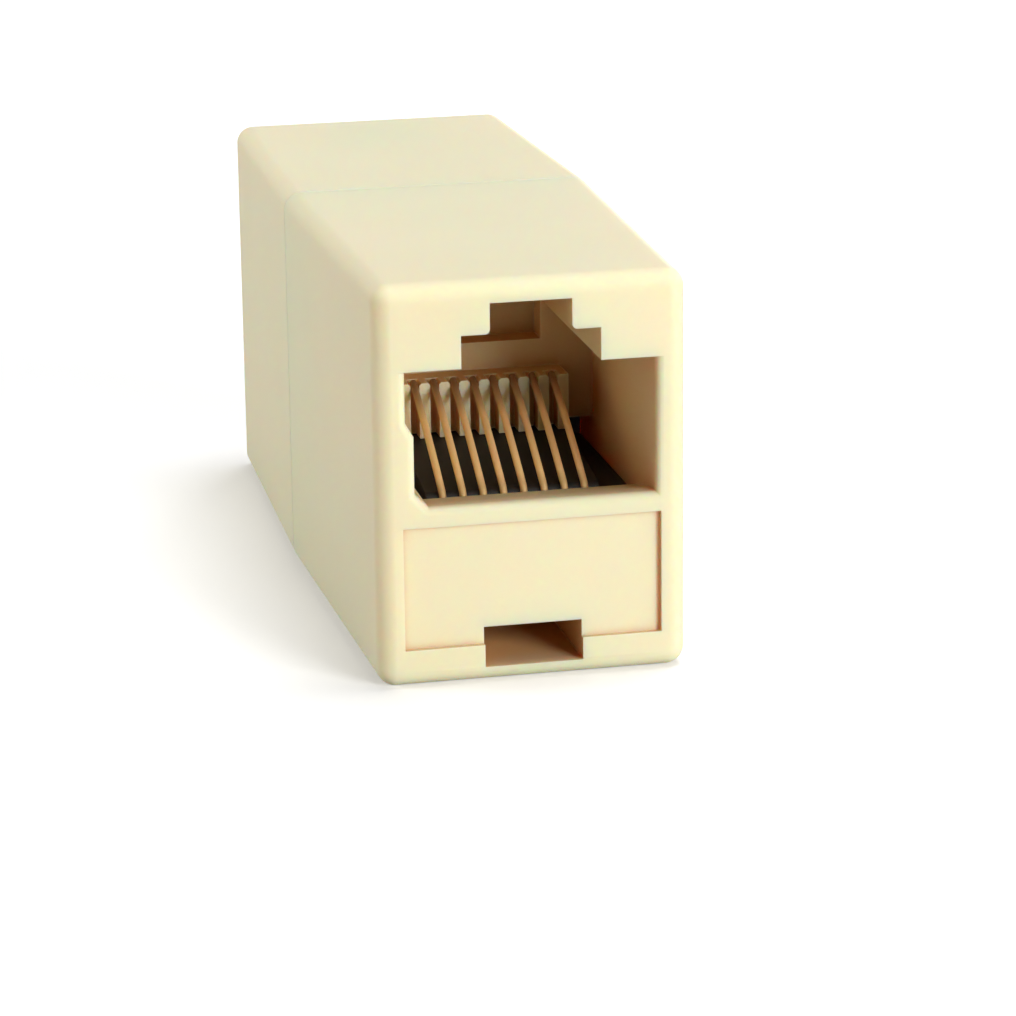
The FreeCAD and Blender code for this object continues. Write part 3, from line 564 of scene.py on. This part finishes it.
wire = start_wire("spring_wire", TAIL, WIRE_RADIUS)
draw_straight((0, nose.y - TAIL.y, 0))
draw_bend(NOSE_STEPS, math.pi - RISE, nose)
draw_bend(BOW_STEPS, bow_angle - math.pi / 2 - RISE, bow_centre, (-1, 0, 0))
bpy.ops.mesh.bevel(offset=TIP_BEVEL, segments=TIP_STEPS, affect="EDGES")
finish_wire()
ends = [Vector(corner) for corner in wire.bound_box]
print("wire from", min(ends, key=lambda c: c.y) / MM, "to", max(ends, key=lambda c: c.z) / MM)

# %% Sixteen wires: eight in each socket
for way in range(1, WAYS + 1):
    for end in ("front", "rear"):
        shift = (-(way - 1) * PITCH, 0, 0)
        twin = copy_of(wire, f"{end}_contact_{way}_wire", shift, turned=end == "rear")
        dress(twin, f"{end}_contact_{way}", gold)
bpy.data.objects.remove(wire)
print(2 * WAYS, "wires in place")

# %% [markdown]
# ## Leads and crimps
#
# Behind the inserts a coloured lead joins each pair of wires. It climbs from the low insert of the
# front socket to the high one of the rear socket. At both ends the insulation is stripped, and a
# pressed sleeve holds the bare conductor.

# %% Sizes of a lead
CRIMP_EDGE = 0.05 * MM
LEAD_RADIUS = 0.45 * MM
CONDUCTOR_RADIUS = 0.19 * MM
LEAD_BEND = 3.30 * MM
LEAD_STEPS = 12
STRIPPED = 1.45 * MM
HALF_SLANT = 1.0 * MM
low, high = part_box("lead_1")
lead_start = Vector(((low.x + high.x) / 2, low.y, low.z + LEAD_RADIUS))
climb = high.z - low.z - 2 * LEAD_RADIUS
lead_angle = math.atan2(climb, 2 * HALF_SLANT)
cut_back = LEAD_BEND * math.tan(lead_angle / 2)


def swell(factor, centre):
    """Steps the selected end of the wire out or in, in its own plane."""
    bpy.ops.mesh.extrude_region_move(TRANSFORM_OT_translate={"value": (0, 0, 0)})
    bpy.ops.transform.resize(value=(factor, 1, factor), center_override=centre)


# %% One lead, drawn from crimp to crimp
lead = start_wire("insulated_lead", lead_start, CONDUCTOR_RADIUS)
draw_straight((0, STRIPPED, 0))
swell(LEAD_RADIUS / CONDUCTOR_RADIUS, lead_start + Vector((0, STRIPPED, 0)))
bend_at = -HALF_SLANT - cut_back
draw_straight((0, bend_at - lead_start.y - STRIPPED, 0))
lower_centre = Vector((lead_start.x, bend_at, lead_start.z + LEAD_BEND))
draw_bend(LEAD_STEPS, lead_angle, lower_centre, (-1, 0, 0))
slope = Vector((0, math.cos(lead_angle), math.sin(lead_angle)))
draw_straight(slope * (climb / math.sin(lead_angle) - 2 * cut_back))
upper_centre = Vector((lead_start.x, -bend_at, lead_start.z + climb - LEAD_BEND))
draw_bend(LEAD_STEPS, lead_angle, upper_centre, (1, 0, 0))
draw_straight((0, bend_at - lead_start.y - STRIPPED, 0))
far_end = lead_start + Vector((0, -2 * lead_start.y - STRIPPED, climb))
swell(CONDUCTOR_RADIUS / LEAD_RADIUS, far_end)
draw_straight((0, STRIPPED, 0))
finish_wire()
print("lead climbs", round(climb / MM, 2), "mm at", round(math.degrees(lead_angle), 1), "degrees")

# %% Eight leads and sixteen crimps
bare_from = -lead_start.y - STRIPPED + WIRE_WELD
for way, name in enumerate(LEAD_COLOURS, start=1):
    twin = copy_of(lead, f"lead_{way}_cable", (-(way - 1) * PITCH, 0, 0))
    dress(twin, f"lead_{way}", insulation[name])
    twin.data.materials.append(copper)
    for face in twin.data.polygons:
        face.material_index = int(abs(face.center.y) > bare_from)
    for end in ("front", "rear"):
        moulding(f"{end}_crimp_{way}", f"{end}_crimp_{way}_sleeve", tin, CRIMP_EDGE)
bpy.data.objects.remove(lead)
